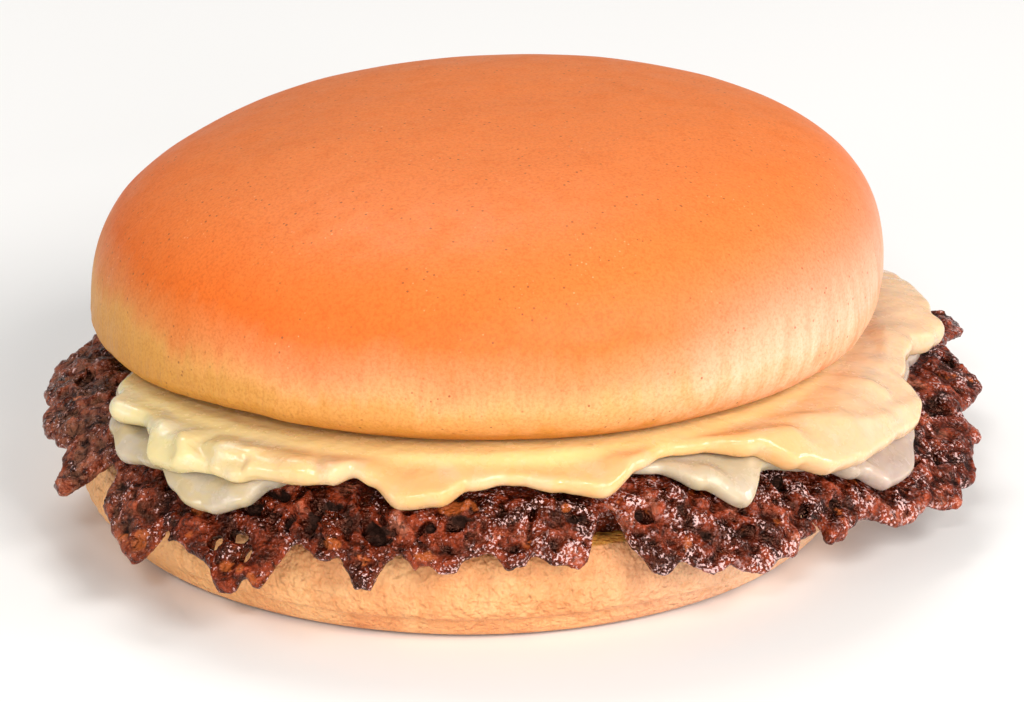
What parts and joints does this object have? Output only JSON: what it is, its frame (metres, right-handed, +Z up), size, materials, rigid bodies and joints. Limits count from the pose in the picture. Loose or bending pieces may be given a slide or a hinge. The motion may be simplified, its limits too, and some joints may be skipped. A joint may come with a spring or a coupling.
{
  "type": "smash burger",
  "caption": "Smash burger: a glazed domed bun crown and a soft heel round a crisp lacy beef patty, under draped melted cheese slices.",
  "frame": {"origin": "middle of the flat foot of the bun's heel, on the surface that the burger stands on", "axes": "+Z up through the crown; -Y towards the front, where the upper cheese slice hangs lowest; +X to the right, towards the side where the patty juts out furthest"},
  "size_m": [0.1323, 0.1191, 0.0555],
  "materials": {
    "toasted_bread": "matt pebbled bread crust",
    "seared_beef": "dark crisp seared mince with wet glints",
    "run_cheese": "soft gloss, thin and slightly see-through",
    "melted_cheese": "soft gloss melted cheese",
    "glazed_crust": "smooth baked crust with an egg-wash sheen"
  },
  "bodies": {
    "root": {"heel": "toasted_bread", "patty": "seared_beef", "cheese_lower": "run_cheese", "cheese_upper": "melted_cheese", "crown": "glazed_crust"}
  },
  "joints": []
}
